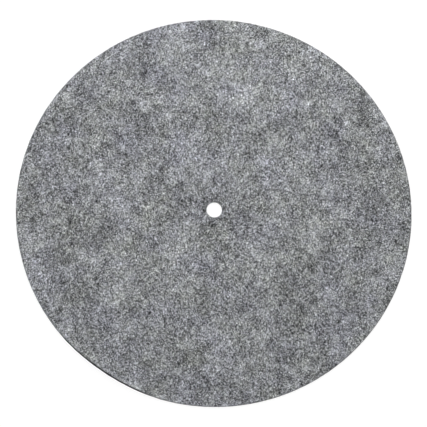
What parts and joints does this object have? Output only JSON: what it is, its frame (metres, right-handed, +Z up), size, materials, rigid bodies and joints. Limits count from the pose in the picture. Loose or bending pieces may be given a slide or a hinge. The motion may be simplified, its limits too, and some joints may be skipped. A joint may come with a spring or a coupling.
{
  "type": "turntable platter mat",
  "caption": "Round mat of grey marled pressed felt with a small centre hole for the spindle; it lies on the platter under the record, and one stretch of its rim is curled up.",
  "frame": {"origin": "centre of the spindle hole at the level of the underside, which rests on the platter", "axes": "+Z up along the spindle, out of the face that carries the record; +Y points away from the viewer of the picture, and the curled stretch of rim is near azimuth 235 degrees from +X towards +Y"},
  "size_m": [0.295, 0.295, 0.0056],
  "materials": {
    "felt": "matte marled felt"
  },
  "bodies": {
    "root": {"felt_mat": "felt"}
  },
  "joints": []
}
